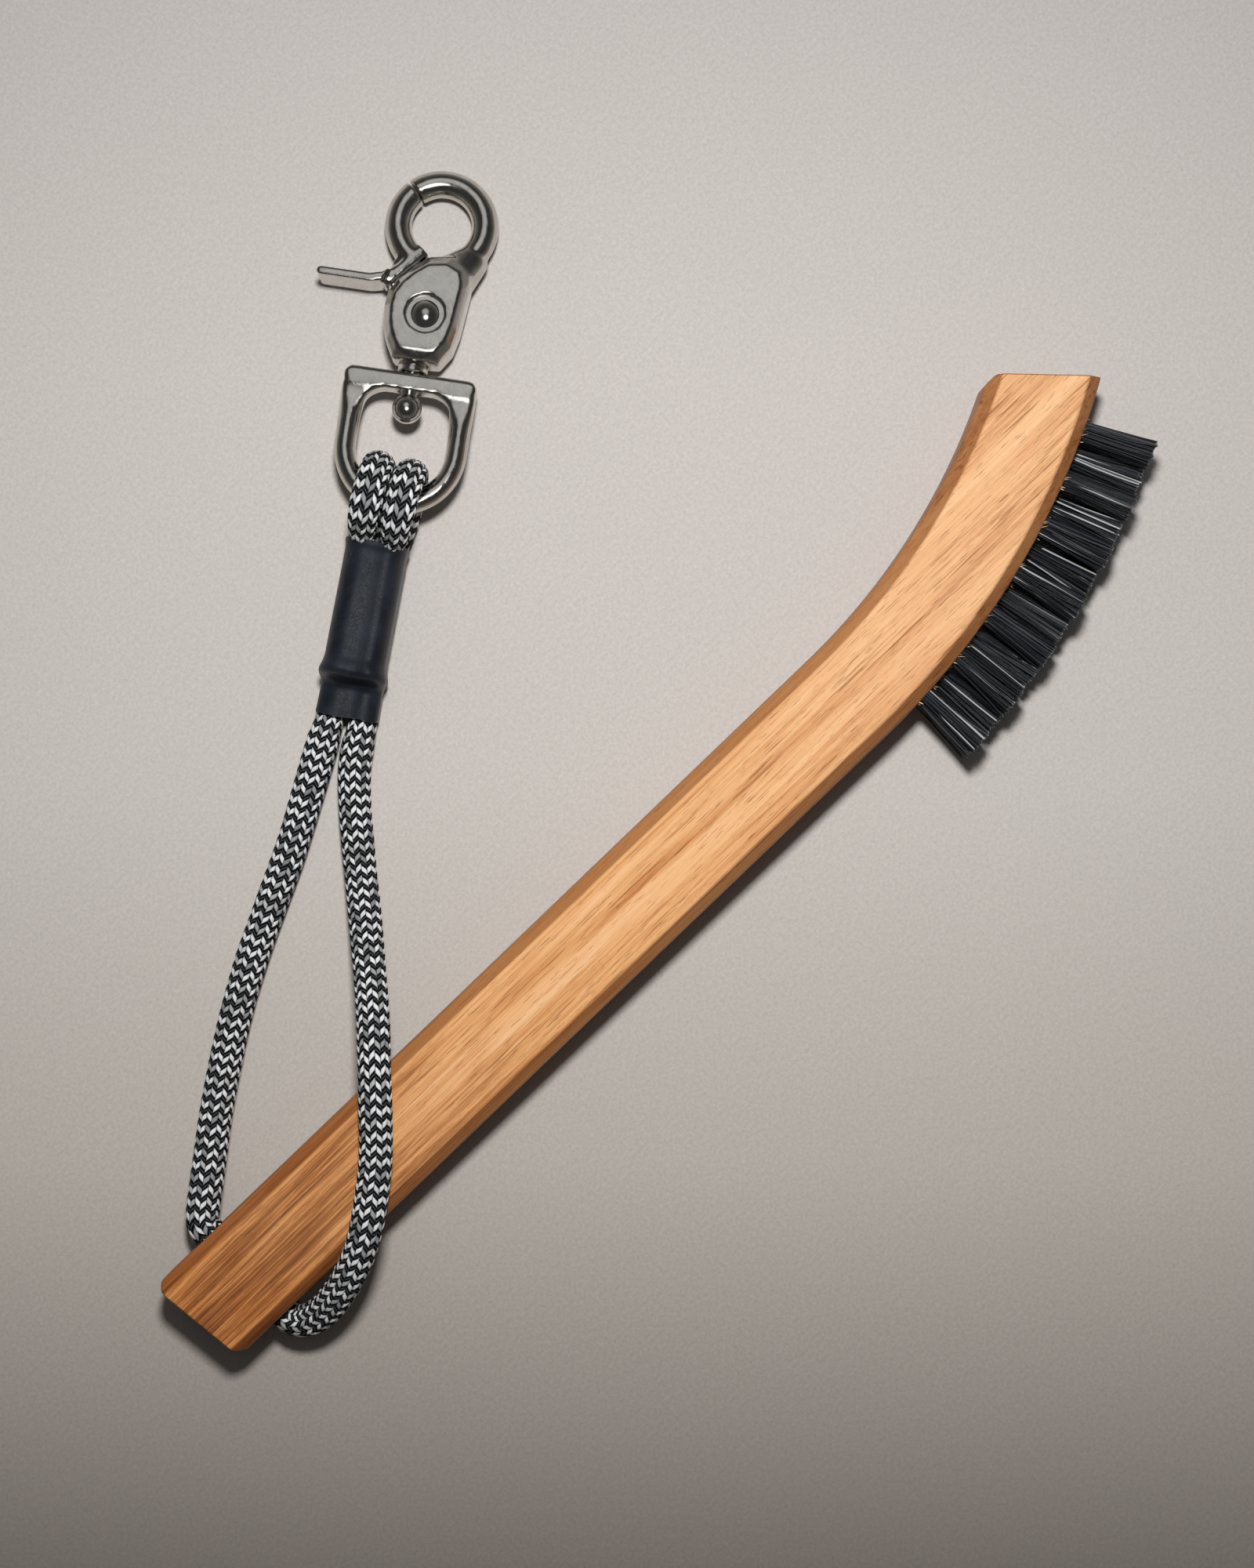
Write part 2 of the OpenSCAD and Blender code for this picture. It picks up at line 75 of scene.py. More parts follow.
# ---- lanyard cord ----
# One length of 6 mm braided polyester cord over a soft core. Its skin is sixteen columns of picks,
# black and pale by turns, which lean left and right from one column to the next. It leaves the
# sleeve, passes through the hole in the butt and comes back to where it started.
CORD_D = 6 * MM
PICK = 1.1 * MM
PICK_LIFT = 0.36 * MM
PICK_LEAN, PICK_START = 0.95, 0.22
COLUMNS, PER_COLUMN = 16, 4
RING_STEP = 0.27 * MM
SLEEVE_HEADING = math.radians(35.5)
# The route starts and ends inside the sleeve, in millimetres
loop_route = [
    [83.0, 64.5, 3.1],
    [79.7, 62.2, 3.1], [75.8, 60, 3.1], [68, 55.5, 3.1], [58.7, 50.2, 3.1], [49.3, 45.5, 3.1],
    [39.5, 40.6, 3.1], [30.5, 35.4, 3.1], [22.3, 29.9, 3.3], [15.2, 24.7, 3.9], [9.6, 20.1, 4.8],
    [5.2, 16.4, 5.9], [1.7, 13.4, 6.7], [0.2, 11.5, 7], [0, 9, 7], [0, 3, 7],
    [0, -3, 7], [0, -9, 7], [0.3, -11.6, 7.1], [1.9, -13.4, 7.7], [4.7, -14.2, 9],
    [8.3, -14, 11], [13, -13, 13.6], [18.3, -11, 15.9], [23.2, -8.2, 17.1], [28, -4.6, 17.2],
    [32.8, -0.5, 17.2], [38.3, 5.3, 17.2], [43.4, 11, 16.5], [48.8, 17.4, 13.6], [53.8, 24.1, 9.5],
    [59.3, 31.6, 5.6], [65.3, 39.6, 3.5], [71.5, 47.3, 3.1], [77, 53, 3.1], [83.2, 57.3, 3.1],
    [86.4, 59.6, 3.1]]


def smooth_line(points, step):
    """Points a step apart on the smooth curve through the given ones."""
    span_parts = 24
    p = np.array(points, float)
    p = np.vstack([2 * p[0] - p[1], p, 2 * p[-1] - p[-2]])
    t = np.linspace(0, 1, span_parts, endpoint=False)[:, None]
    curve = [0.5 * (2 * b + (c - a) * t + (2 * a - 5 * b + 4 * c - d) * t**2
                    + (3 * b - a - 3 * c + d) * t**3)
             for a, b, c, d in zip(p, p[1:], p[2:], p[3:])]
    curve = np.vstack(curve + [p[-2:-1]])
    run = np.concatenate([[0], np.cumsum(np.linalg.norm(np.diff(curve, axis=0), axis=1))])
    even = np.linspace(0, run[-1], int(round(run[-1] / step)) + 1)
    return np.stack([np.interp(even, run, curve[:, k]) for k in range(3)], 1)


def linked(name, mesh):
    """A new object of that name that shows the mesh."""
    made = bpy.data.objects.new(name, mesh)
    bpy.context.collection.objects.link(made)
    return made


def sides_along(line):
    """Two directions across the line at each of its points, carried along it without a twist."""
    ahead = np.gradient(line, axis=0)
    ahead /= np.linalg.norm(ahead, axis=1)[:, None]
    side = np.cross(ahead[0], [0, 0.1, 1])
    sides = []
    for t in ahead:
        side = side - side @ t * t
        side /= np.linalg.norm(side)
        sides.append(side)
    sides = np.array(sides)
    return sides, np.cross(ahead, sides)


def braided_tube(name, line, diameter, seed, squeeze=0.15, spread=1.0, across=(0, 0, 1)):
    """A closed tube along the line, with its skin raised in picks.

    It is squeezed by that share at both ends, where it enters the sleeve, and between them it
    is spread by that factor in the direction across.
    """
    around = COLUMNS * PER_COLUMN
    sides, ups = sides_along(line)
    step = np.linalg.norm(line[1] - line[0])
    run = np.arange(len(line)) * step
    column = np.arange(around + 1) / PER_COLUMN
    u, v = np.meshgrid(column, run / PICK)
    turn = 1 - 2 * (np.floor(u) % 2)
    a = u % 1
    b = (v + turn * (PICK_LEAN * (a - 0.5) + PICK_START)) % 1
    bulge = np.sqrt(np.clip((1 - (2 * a - 1) ** 4) * (1 - (2 * b - 1) ** 4), 0, 1))
    rng = np.random.default_rng(seed)
    slow_marks, slow_share = 40, 0.02
    slow = np.interp(run, np.linspace(0, run[-1], slow_marks),
                     rng.uniform(-slow_share, slow_share, slow_marks))
    from_end = np.minimum(run, run[-1] - run)
    tight = 1 - squeeze * np.clip(1 - (from_end - 4.5 * MM) / (4 * MM), 0, 1) + slow
    radius = (diameter / 2 - PICK_LIFT + PICK_LIFT * bulge) * tight[:, None]
    angle = 2 * np.pi * column / COLUMNS
    verts = (line[:, None] + radius[..., None]
             * (np.cos(angle)[None, :, None] * sides[:, None]
                + np.sin(angle)[None, :, None] * ups[:, None]))[:, :around]
    across = np.array(across)
    wide = (spread - 1) * np.clip((from_end - 6 * MM) / (6 * MM), 0, 1)[:, None, None]
    verts = verts + wide * ((verts - line[:, None]) @ across)[..., None] * across
    j, k = np.meshgrid(np.arange(len(line) - 1), np.arange(around), indexing="ij")
    j, k = j.ravel(), k.ravel()
    k1 = (k + 1) % around
    quads = np.stack([j * around + k, j * around + k1, (j + 1) * around + k1,
                      (j + 1) * around + k], 1)
    last = (len(line) - 1) * around
    caps = [list(range(around - 1, -1, -1)), list(range(last, last + around))]
    mesh = bpy.data.meshes.new(name)
    mesh.from_pydata(verts.reshape(-1, 3).tolist(), [], quads.tolist() + caps)
    weave = mesh.uv_layers.new(name="weave")
    left, right = k / PER_COLUMN, (k + 1) / PER_COLUMN
    low, high = run[j] / PICK, run[j + 1] / PICK
    corners = np.stack([np.stack(corner, 1) for corner in (
        (left, low), (right, low), (right, high), (left, high))], 1).reshape(-1, 2)
    flat = np.zeros((len(mesh.loops), 2), np.float32)
    flat[:len(corners)] = corners
    weave.uv.foreach_set("vector", flat.ravel())
    mesh.shade_smooth()
    return linked(name, mesh)


def plug(tree, socket, value):
    """Sets the socket to a plain value, or links it to another node's output."""
    if isinstance(value, bpy.types.NodeSocket):
        tree.links.new(value, socket)
    else:
        socket.default_value = value


def shade(name, **sockets):
    """A material, its node tree and its shader, with the shader's plain values set."""
    made = bpy.data.materials.new(name)
    made.use_nodes = True
    shader = made.node_tree.nodes["Principled BSDF"]
    for socket, value in sockets.items():
        shader.inputs[socket.replace("_", " ")].default_value = value
    return made, made.node_tree, shader


def calc(tree, operation, *values):
    node = tree.nodes.new("ShaderNodeMath")
    node.operation = operation
    for socket, value in zip(node.inputs, values):
        plug(tree, socket, value)
    return node.outputs[0]


def remap(tree, value, low, high, to_low=0.0, to_high=1.0):
    node = tree.nodes.new("ShaderNodeMapRange")
    for socket, number in zip(node.inputs, (value, low, high, to_low, to_high)):
        plug(tree, socket, number)
    return node.outputs[0]


def noise(tree, where, stretch, detail=3.0, roughness=0.55, distortion=0.0, shift=(0, 0, 0)):
    """Noise whose grains are 1/stretch long on each axis."""
    mapping = tree.nodes.new("ShaderNodeMapping")
    mapping.inputs["Scale"].default_value = stretch
    mapping.inputs["Location"].default_value = shift
    tree.links.new(where, mapping.inputs["Vector"])
    node = tree.nodes.new("ShaderNodeTexNoise")
    node.inputs["Scale"].default_value = 1
    node.inputs["Detail"].default_value = detail
    node.inputs["Roughness"].default_value = roughness
    node.inputs["Distortion"].default_value = distortion
    tree.links.new(mapping.outputs[0], node.inputs["Vector"])
    return node.outputs[0]


def ramp(tree, value, *stops):
    node = tree.nodes.new("ShaderNodeValToRGB")
    tree.links.new(value, node.inputs[0])
    elements = node.color_ramp.elements
    while len(elements) < len(stops):
        elements.new(0.5)
    for element, (place, colour) in zip(elements, stops):
        element.position = place
        element.color = (*colour, 1)
    return node.outputs[0]


def mix(tree, factor, a, b, kind="MIX"):
    node = tree.nodes.new("ShaderNodeMix")
    node.data_type = "RGBA"
    node.blend_type = kind
    for place, value in ((0, factor), (6, a), (7, b)):
        plug(tree, node.inputs[place], value)
    return node.outputs[2]


def bump(tree, shader, height, depth, strength=1.0):
    node = tree.nodes.new("ShaderNodeBump")
    node.inputs["Strength"].default_value = strength
    node.inputs["Distance"].default_value = depth
    tree.links.new(height, node.inputs["Height"])
    tree.links.new(node.outputs[0], shader.inputs["Normal"])


def object_place(tree):
    return tree.nodes.new("ShaderNodeTexCoord").outputs["Object"]


def refinish(node_name, finish):
    """Gives one of the frame's own pieces that finish."""
    nodes[node_name].data.materials.clear()
    nodes[node_name].data.materials.append(finish)


# Braid: black picks and pale picks by turns along the cord, with a thin pale thread in the black
braid, tree, shader = shade("braid_polyester")
weave_map = tree.nodes.new("ShaderNodeUVMap")
weave_map.uv_map = "weave"
split = tree.nodes.new("ShaderNodeSeparateXYZ")
tree.links.new(weave_map.outputs[0], split.inputs[0])
column, along = split.outputs[0], split.outputs[1]
across = calc(tree, "FRACT", column)
turn = calc(tree, "SUBTRACT", 1.0, calc(tree, "MULTIPLY", 2.0, calc(
    tree, "MODULO", calc(tree, "FLOOR", column), 2.0)))
lean = calc(tree, "ADD", calc(tree, "MULTIPLY", calc(tree, "SUBTRACT", across, 0.5), PICK_LEAN),
            PICK_START)
phase = calc(tree, "ADD", along, calc(tree, "MULTIPLY", turn, lean))
in_pick = calc(tree, "FRACT", phase)
is_black = calc(tree, "MODULO", calc(tree, "FLOOR", phase), 2.0)
pick_id = tree.nodes.new("ShaderNodeCombineXYZ")
tree.links.new(calc(tree, "FLOOR", column), pick_id.inputs[0])
tree.links.new(calc(tree, "FLOOR", phase), pick_id.inputs[1])
tone = tree.nodes.new("ShaderNodeTexWhiteNoise")
tone.noise_dimensions = "2D"
tree.links.new(pick_id.outputs[0], tone.inputs["Vector"])
pale = ramp(tree, tone.outputs[0], (0.0, (0.24, 0.25, 0.26)), (0.25, (0.48, 0.49, 0.49)),
            (0.4, (0.84, 0.86, 0.88)), (1.0, (0.93, 0.95, 0.98)))
from_thread = calc(tree, "ABSOLUTE", calc(tree, "SUBTRACT", in_pick, 0.52))
thread = remap(tree, from_thread, 0.07, 0.11, 1.0, 0.0)
black = mix(tree, calc(tree, "MULTIPLY", thread, 0.5), (0.003, 0.0035, 0.005, 1), (0.14, 0.15, 0.16, 1))
yarns = calc(tree, "SINE", calc(tree, "MULTIPLY", phase, 38.0))
edge = remap(tree, calc(tree, "ABSOLUTE", calc(tree, "SUBTRACT", in_pick, 0.5)), 0.34, 0.5, 1.0, 0.05)
wall = remap(tree, calc(tree, "ABSOLUTE", calc(tree, "SUBTRACT", across, 0.5)), 0.38, 0.5, 1.0, 0.1)
relief_and_crevice_shade = calc(tree, "MULTIPLY", edge, wall)
yarn_colour = mix(tree, is_black, pale, black)
tree.links.new(remap(tree, is_black, 0.0, 1.0, 0.5, 0.05), shader.inputs["Specular IOR Level"])
tree.links.new(remap(tree, is_black, 0.0, 1.0, 0.33, 0.60), shader.inputs["Roughness"])
# Painted shade: the crevices at each pick's ends and along the column walls are darkened toward near black;
# the same mask gives the picks their relief.
yarn_colour = mix(tree, calc(tree, "SUBTRACT", 1.0, relief_and_crevice_shade), yarn_colour, (0.005, 0.006, 0.007, 1))
tree.links.new(mix(tree, remap(tree, yarns, -1.0, 1.0, 0.0, 0.14), yarn_colour, (0.02, 0.02, 0.02, 1)),
               shader.inputs["Base Color"])
bump(tree, shader, calc(tree, "ADD", calc(tree, "MULTIPLY", yarns, 0.3), relief_and_crevice_shade), 0.08 * MM, 0.8)

loop_line = smooth_line(np.array(loop_route) * MM, RING_STEP)
loop = braided_tube("lanyard_loop", loop_line, CORD_D, seed=3)
loop.data.materials.append(braid)
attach(loop, "lanyard")
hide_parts("lanyard_cord")


# ---- cord eyes ----
# The same cord, drawn down to 5.2 mm, takes two turns side by side round the bail's bow. Each turn
# comes out of the sleeve's top end low, passes round the wire and goes back in over itself.
EYE_D = 5.2 * MM
# Places in millimetres. The sleeve's is its lower end; an eye's two ends lie in the sleeve's top end
# at these heights, with a tail that reaches in.
eye_axes = {"left": (112.54, 84.9), "right": (115.75, 79.8)}
eye_z = 8.35
EYE_LOW_Z, EYE_HIGH_Z, EYE_TAIL = 2.75, 8.15, 4
sleeve_x, sleeve_y, sleeve_len, sleeve_w = 81.5, 59.8, 31.4, 11.0
# Forward and upward places along one eye, from its axis
eye_turn = [[-6, -5.6], [-3, -5.6], [0, -5.6], [2.1, -5.2], [3.95, -3.95], [5.2, -2.1], [5.6, 0],
            [5.2, 2.1], [3.95, 3.95], [2.1, 5.2], [0, 5.6], [-2.2, 5.4], [-4.3, 4.2], [-6.2, 2.2]]
(left_x, left_y), (right_x, right_y) = eye_axes["left"], eye_axes["right"]
eye_heading = math.atan2(right_y - left_y, right_x - left_x) + math.pi / 2
along_sleeve = np.array([math.cos(SLEEVE_HEADING), math.sin(SLEEVE_HEADING), 0])
across_sleeve = np.array([-math.sin(SLEEVE_HEADING), math.cos(SLEEVE_HEADING), 0])
for side_name, hand in (("left", 1), ("right", -1)):
    axis = np.array([*eye_axes[side_name], eye_z])
    forward = np.array([math.cos(eye_heading), math.sin(eye_heading), 0])
    top = (np.array([sleeve_x, sleeve_y, 0]) + (sleeve_len + 0.1) * along_sleeve
           + hand * sleeve_w / 4 * across_sleeve)
    low, high = top + [0, 0, EYE_LOW_Z], top + [0, 0, EYE_HIGH_Z]
    line = [low - EYE_TAIL * along_sleeve, low]
    line += [axis + q[0] * forward + [0, 0, q[1]] for q in eye_turn]
    line += [high, high - EYE_TAIL * along_sleeve]
    eye = braided_tube(f"eye_{side_name}", smooth_line(np.array(line) * MM, RING_STEP), EYE_D,
                       squeeze=0.1, seed=7 + hand, spread=1.13,
                       across=(math.sin(eye_heading), -math.cos(eye_heading), 0))
    eye.data.materials.append(braid)
    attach(eye, "lanyard")
    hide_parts(f"cord_eye_{side_name}")


# ---- sleeve ----
# A length of black heat-shrink tube over the crimped splice. Shrunk on four strands it is a flat-sided
# block with a shallow valley between the strands; below the splice it drops in a rolled step to two.
SLEEVE_H = 10.6
SLEEVE_CORNER, SLEEVE_RING, SLEEVE_WALL = 3.3 * MM, 0.5 * MM, 0.8 * MM


def deselect():
    if bpy.context.mode != "OBJECT":
        bpy.ops.object.mode_set(mode="OBJECT")
    bpy.ops.object.select_all(action="DESELECT")


def edit(piece, kind="VERT"):
    """Opens the piece for picking by that kind of element, with nothing selected."""
    deselect()
    bpy.context.view_layer.objects.active = piece
    piece.select_set(True)
    bpy.ops.object.mode_set(mode="EDIT")
    bpy.ops.mesh.select_mode(type=kind)
    bpy.ops.mesh.select_all(action="DESELECT")
    bpy.ops.object.mode_set(mode="OBJECT")


def pick_edges(piece, test):
    """Leaves the piece in edit mode with the edges selected whose two ends pass the test."""
    edit(piece, "EDGE")
    points = piece.data.vertices
    for e in piece.data.edges:
        e.select = test(points[e.vertices[0]].co, points[e.vertices[1]].co)
    bpy.ops.object.mode_set(mode="EDIT")


def pick_faces(piece, test):
    """Leaves the piece in edit mode with the faces selected that pass the test of middle and normal."""
    edit(piece, "FACE")
    for f in piece.data.polygons:
        f.select = test(f.center, f.normal)
    bpy.ops.object.mode_set(mode="EDIT")


def open_all(piece):
    """Leaves the piece in edit mode with everything selected."""
    edit(piece)
    bpy.ops.object.mode_set(mode="EDIT")
    bpy.ops.mesh.select_all(action="SELECT")


def cut(piece, place, normal, **keep):
    """Cuts the whole piece along a plane, and keeps both sides unless told which to clear."""
    open_all(piece)
    bpy.ops.mesh.bisect(plane_co=place, plane_no=normal, **keep)
    bpy.ops.object.mode_set(mode="OBJECT")


def settle(piece, place=Matrix.Identity(4)):
    """Puts the object's own placing, and then another, into its mesh."""
    piece.data.transform(place @ piece.matrix_world)
    piece.matrix_world = Matrix.Identity(4)


def modify(piece, kind, **settings):
    """Runs one modifier on the piece and makes its result the mesh."""
    deselect()
    bpy.context.view_layer.objects.active = piece
    piece.select_set(True)
    made = piece.modifiers.new(kind.lower(), kind)
    for name, value in settings.items():
        setattr(made, name, value)
    bpy.ops.object.modifier_apply(modifier=made.name)


def smooth(piece, degrees):
    """Shades the piece smooth, with edges kept where its faces turn by more than that."""
    deselect()
    bpy.context.view_layer.objects.active = piece
    piece.select_set(True)
    bpy.ops.object.shade_smooth_by_angle(angle=math.radians(degrees))


deselect()
bpy.ops.mesh.primitive_cube_add(size=1, location=(sleeve_len / 2 * MM, 0, 0),
                                scale=(sleeve_len * MM, sleeve_w * MM, SLEEVE_H * MM))
sleeve = bpy.context.object
sleeve.name = "shrink_tube"
settle(sleeve)
pick_faces(sleeve, lambda c, n: abs(n.x) > 0.9)
bpy.ops.mesh.delete(type="ONLY_FACE")
pick_edges(sleeve, lambda a, b: abs(a.x - b.x) > MM)
bpy.ops.mesh.bevel(offset=SLEEVE_CORNER, segments=7, profile=0.5)
for flat_cut in range(-2, 3):
    cut(sleeve, (0, flat_cut * 0.9 * MM, 0), (0, 1, 0))
    cut(sleeve, (0, 0, flat_cut * 0.8 * MM), (0, 0, 1))
for k in range(1, 63):
    cut(sleeve, (k * SLEEVE_RING, 0, 0), (1, 0, 0))
# Outer size at each station from the lower end
stations = np.array([0, 1.2, 5.4, 6.3, 7.0, 7.8, 9.0, 10.5, 29.6, 31.4]) * MM
heights = np.array([6.7, 6.4, 6.4, 7.4, 10.2, 11.3, 11.2, 10.7, 10.6, 11.1])
widths = np.array([11.5, 11.3, 11.2, 11.5, 12.3, 12.4, 11.5, 11.1, 11.0, 11.6])
for v in sleeve.data.vertices:
    x, y, z = v.co
    tall = float(np.interp(x, stations, heights)) / SLEEVE_H
    wide = float(np.interp(x, stations, widths)) / sleeve_w
    valley = (0.22 if x > 9 * MM else 0.45) * MM * math.exp(-((y / MM + 0.6) / 1.4) ** 2)
    wave = 0.05 * MM * math.sin(x / MM * 0.31 + y / MM * 0.6)
    z = z * tall - math.copysign(valley, z) * (abs(z) > 2 * MM) + wave * (z > 0)
    v.co = (x * 1.012 + 0.12 * MM * math.sin(y / MM * 0.9 + z / MM), y * wide,
            z + SLEEVE_H / 2 * tall * MM + 0.1 * MM)
modify(sleeve, "SOLIDIFY", thickness=SLEEVE_WALL, offset=-1, use_even_offset=True)
modify(sleeve, "SMOOTH", factor=0.5, iterations=3)
settle(sleeve, Matrix.Translation((sleeve_x * MM, sleeve_y * MM, 0))
       @ Matrix.Rotation(SLEEVE_HEADING, 4, "Z"))
smooth(sleeve, 50)
tube_skin, tree, shader = shade("heat_shrink", Specular_IOR_Level=0.42)
where = object_place(tree)
mottle = noise(tree, where, (260, 260, 260), detail=5)
fine = noise(tree, where, (2600, 2600, 2600), detail=3)
tree.links.new(ramp(tree, mottle, (0.3, (0.006, 0.008, 0.012)), (0.7, (0.016, 0.020, 0.028))),
               shader.inputs["Base Color"])
tree.links.new(remap(tree, fine, 0.3, 0.7, 0.30, 0.50), shader.inputs["Roughness"])
bump(tree, shader, calc(tree, "ADD", calc(tree, "MULTIPLY", mottle, 0.35), calc(
    tree, "MULTIPLY", fine, 0.3)), 0.07 * MM, 0.6)
sleeve.data.materials.append(tube_skin)
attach(sleeve, "lanyard")
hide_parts("shrink_sleeve")


# ---- inside the sleeve ----
# A plated ferrule is crimped round the four strands, and the sleeve hides them both.
# The strands show only as dark yarn ends at the sleeve's two mouths.
zinc, tree, shader = shade("zinc_plate", Metallic=1.0, Roughness=0.4)
where = object_place(tree)
tree.links.new(ramp(tree, noise(tree, where, (700, 700, 700), detail=4), (0.3, (0.30, 0.31, 0.33)),
                    (0.7, (0.52, 0.53, 0.55))), shader.inputs["Base Color"])
bump(tree, shader, noise(tree, where, (3000, 3000, 3000)), 0.02 * MM, 0.5)
core_yarn, tree, shader = shade("core_yarn", Roughness=0.8)
where = object_place(tree)
strand_noise = noise(tree, where, (1200, 1200, 1200), detail=4)
tree.links.new(ramp(tree, strand_noise, (0.35, (0.015, 0.016, 0.018)), (0.7, (0.10, 0.10, 0.105))),
               shader.inputs["Base Color"])
bump(tree, shader, strand_noise, 0.2 * MM, 0.8)
refinish("crimp_ferrule", zinc)
refinish("splice_strands", core_yarn)


# ---- handle ----
# One piece of oiled hardwood, sawn to a curved blank with the grain straight along the grip, then
# chamfered on its four long edges, sanded and drilled: once across the butt for the lanyard and
# twenty times in the outer curve for the tufts.
HANDLE_T, HALF_W, GRIP, BUTT = 14 * MM, 9.65 * MM, 149 * MM, 11 * MM
BEND_R, BEND_ANGLE = 131 * MM, math.radians(29.5)
HEAD_SLANT, BUTT_SLANT = math.radians(15.5), math.radians(7)
CHAMFER, CORNER, SOFT_EDGE = 2.3 * MM, 1.2 * MM, 0.45 * MM
bend_centre = Vector((GRIP, BEND_R, 0))
# The bar starts longer than the handle at both ends, which are sawn off once it is bent
bar_start, bar_end = -BUTT - 5 * MM, GRIP + BEND_R * (BEND_ANGLE + math.radians(7))
deselect()
bpy.ops.mesh.primitive_cube_add(
    size=1, location=((bar_start + bar_end) / 2, 0, HANDLE_T / 2),
    scale=(bar_end - bar_start, 2 * HALF_W, HANDLE_T))
handle = bpy.context.object
handle.name = "wooden_handle"
settle(handle)
pick_edges(handle, lambda a, b: abs(a.x - b.x) > MM)
bpy.ops.mesh.bevel(offset=CHAMFER, segments=1)
for k in range(1, 17):
    cut(handle, (k * 9 * MM, 0, 0), (1, 0, 0))
for k in range(42):
    cut(handle, (GRIP + k * 2 * MM, 0, 0), (1, 0, 0))


def bent(p):
    """Carries a point of the straight bar round the bend."""
    if p.x <= GRIP:
        return p
    turn_by = (p.x - GRIP) / BEND_R
    out = BEND_R - p.y
    return Vector((GRIP + out * math.sin(turn_by), BEND_R - out * math.cos(turn_by), p.z))


for v in handle.data.vertices:
    v.co = bent(v.co)


def end_cut(place, out):
    """Saws off what lies beyond a plane, which faces out, and closes the handle there."""
    cut(handle, place, out, clear_outer=True, use_fill=True)


head_out = Matrix.Rotation(BEND_ANGLE, 3, "Z") @ Vector((1, 0, 0))
head_mid = bend_centre + BEND_R * Vector((math.sin(BEND_ANGLE), -math.cos(BEND_ANGLE), 0))
head_saw = Matrix.Rotation(HEAD_SLANT, 3, "Z")
end_cut(head_mid, head_saw @ head_out)
butt_saw = Matrix.Rotation(BUTT_SLANT, 3, "Z")
butt_out = butt_saw @ Vector((-1, 0, 0))
end_cut(Vector((-BUTT, 0, 0)), butt_out)
head_half = Matrix.Rotation(BEND_ANGLE, 3, "Z") @ Vector((0, HALF_W / math.cos(HEAD_SLANT), 0))
head_corner = head_mid + head_saw @ head_half
head_side = Matrix.Rotation(math.radians(90), 3, "Z") @ head_out
corner_out = (head_saw @ head_out + head_saw @ head_side).normalized()
end_cut(head_corner - corner_out * CORNER / math.sqrt(2), corner_out)
for hand in (-1, 1):
    butt_side = butt_saw @ Vector((0, hand, 0))
    butt_corner = Vector((-BUTT, 0, 0)) + butt_side * HALF_W / math.cos(BUTT_SLANT)
    butt_corner_out = (butt_out + butt_side).normalized()
    end_cut(butt_corner - butt_corner_out * CORNER / math.sqrt(2), butt_corner_out)
modify(handle, "BEVEL", width=SOFT_EDGE, segments=3, limit_method="ANGLE", angle_limit=math.radians(20))

TUFT_HOLE_D, TUFT_DEPTH, TUFT_PITCH = 4.2 * MM, 8 * MM, 9.2 * MM
ROW_GAP, FIRST_TUFT = 2.9 * MM, 10 * MM
OUTER_R = BEND_R + HALF_W


def tuft_place(row, i):
    """The frame of one tuft: +Z along the tuft, with z = 0 on the wood's outer face."""
    arc = FIRST_TUFT + (TUFT_PITCH / 2 if row == 1 else 0) + i * TUFT_PITCH
    angle = arc / OUTER_R
    out = Vector((math.sin(angle), -math.cos(angle), 0))
    up = Vector((0, 0, 1))
    place = Matrix((*[(out.cross(up)[k], up[k], out[k], 0) for k in range(3)], (0, 0, 0, 1)))
    at = bend_centre + OUTER_R * out
    return Matrix.Translation((at.x, at.y, HANDLE_T / 2 + (row - 1) * ROW_GAP)) @ place


ROW_NAMES = ("low", "mid", "top")
tuft_places = [(f"tuft_{ROW_NAMES[row]}_{i + 1}", tuft_place(row, i))
               for row in range(3) for i in range(6 if row == 1 else 7)]
DRILL_PAST = 3 * MM
drills = []
for name, place in tuft_places:
    deselect()
    bpy.ops.mesh.primitive_cylinder_add(vertices=28, radius=TUFT_HOLE_D / 2, depth=TUFT_DEPTH + DRILL_PAST,
                                        location=(0, 0, (DRILL_PAST - TUFT_DEPTH) / 2))
    drills.append(bpy.context.object)
    settle(drills[-1], place)
deselect()
for drill in drills:
    drill.select_set(True)
bpy.context.view_layer.objects.active = drills[0]
bpy.ops.object.join()
drill = bpy.context.object
modify(handle, "BOOLEAN", operation="DIFFERENCE", object=drill, solver="EXACT")
bpy.data.objects.remove(drill)
# The lanyard's hole, with its rims countersunk by SINK; the drill stands PAST proud of both sides
HOLE_R, SINK, PAST = 3.5 * MM, 0.85 * MM, 0.2 * MM
deselect()
bpy.ops.mesh.primitive_cylinder_add(vertices=48, radius=HOLE_R, depth=2 * (HALF_W + PAST))
drill = bpy.context.object
settle(drill)
for z in (-1, 1):
    cut(drill, (0, 0, z * (HALF_W - SINK)), (0, 0, 1))
for v in drill.data.vertices:
    if abs(v.co.z) > HALF_W:
        v.co.x *= (HOLE_R + SINK + PAST) / HOLE_R
        v.co.y *= (HOLE_R + SINK + PAST) / HOLE_R
settle(drill, Matrix.Translation((0, 0, HANDLE_T / 2)) @ Matrix.Rotation(math.radians(90), 4, "X"))
modify(handle, "BOOLEAN", operation="DIFFERENCE", object=drill, solver="EXACT")
bpy.data.objects.remove(drill)
smooth(handle, 24)
modify(handle, "WEIGHTED_NORMAL", keep_sharp=True, weight=60)

